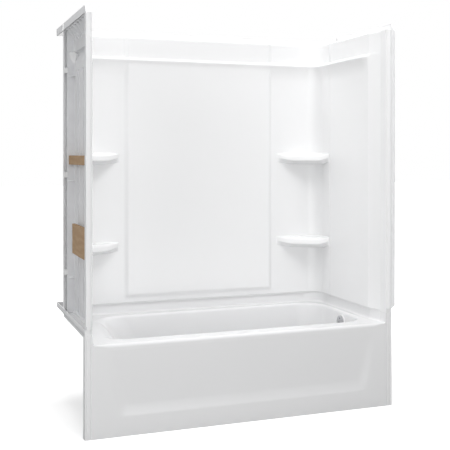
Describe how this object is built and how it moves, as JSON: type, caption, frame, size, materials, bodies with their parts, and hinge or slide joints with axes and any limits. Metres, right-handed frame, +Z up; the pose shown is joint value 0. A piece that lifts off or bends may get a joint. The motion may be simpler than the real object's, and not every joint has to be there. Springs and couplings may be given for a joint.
{
  "type": "alcove bath with wall surround",
  "caption": "Alcove bath with integral apron, moulded wall panels with corner shelves, backer boards, and a lever-operated waste and overflow.",
  "frame": {"origin": "centre of the footprint on the floor", "axes": "+X along the bath towards the drain end, +Y towards the back wall, +Z up"},
  "size_m": [1.524, 0.792, 1.886],
  "materials": {
    "white_shell": "smooth high gloss white moulding",
    "board": "raw sawn plywood",
    "clip": "white moulded plastic",
    "foam": "moulded foam",
    "chrome": "polished",
    "brass": "drawn",
    "spring_steel": "drawn wire",
    "rubber": "matt",
    "waste_pipe": "satin black pipe plastic"
  },
  "bodies": {
    "shell": {"bath": "white_shell", "support_pad": "foam", "back_wall": "white_shell", "left_end_wall": "white_shell", "right_end_wall": "white_shell", "left_grab_board": "board", "left_narrow_board": "board", "right_grab_board": "board", "right_narrow_board": "board", "back_grab_board": "board", "left_seam_clips": "clip", "right_seam_clips": "clip", "overflow_plate": "chrome", "overflow_screws": "chrome", "overflow_gasket": "rubber", "overflow_elbow": "waste_pipe", "overflow_tube": "waste_pipe", "drain_flange": "chrome", "drain_gasket": "rubber", "drain_shoe": "waste_pipe", "waste_arm": "waste_pipe", "waste_tee": "waste_pipe", "slip_nuts": "waste_pipe", "slip_washers": "rubber", "tailpiece": "waste_pipe"},
    "lever": {"trip_lever": "chrome"},
    "lift_linkage": {"lift_rod": "brass", "rod_locknut": "brass", "lift_spring": "spring_steel"},
    "rocker": {"rocker_arm": "brass"},
    "stopper": {"stopper_cap": "chrome", "stopper_seal": "rubber", "stopper_stem": "brass"}
  },
  "joints": [
    {"name": "lever_hinge", "type": "hinge", "parent": "shell", "child": "lever", "pos_m": [0.682, -0.012, 0.349], "axis": [0, 1, 0], "range_deg": [0, 24]},
    {"name": "rod_slide", "type": "slide", "parent": "shell", "child": "lift_linkage", "axis": [0, 0, -1], "range_m": [0, 0.00998]},
    {"name": "rocker_hinge", "type": "hinge", "parent": "shell", "child": "rocker", "pos_m": [0.618, -0.012, 0.06], "axis": [0, 1, 0], "range_deg": [0, 7.2]},
    {"name": "stopper_slide", "type": "slide", "parent": "shell", "child": "stopper", "axis": [0, 0, 1], "range_m": [0, 0.0112]}
  ],
  "couplings": [
    {"joint": "rod_slide", "follows": "lever_hinge", "m_per_rad": 0.023825},
    {"joint": "rocker_hinge", "follows": "lever_hinge", "ratio": 0.3},
    {"joint": "stopper_slide", "follows": "lever_hinge", "m_per_rad": 0.026738}
  ]
}
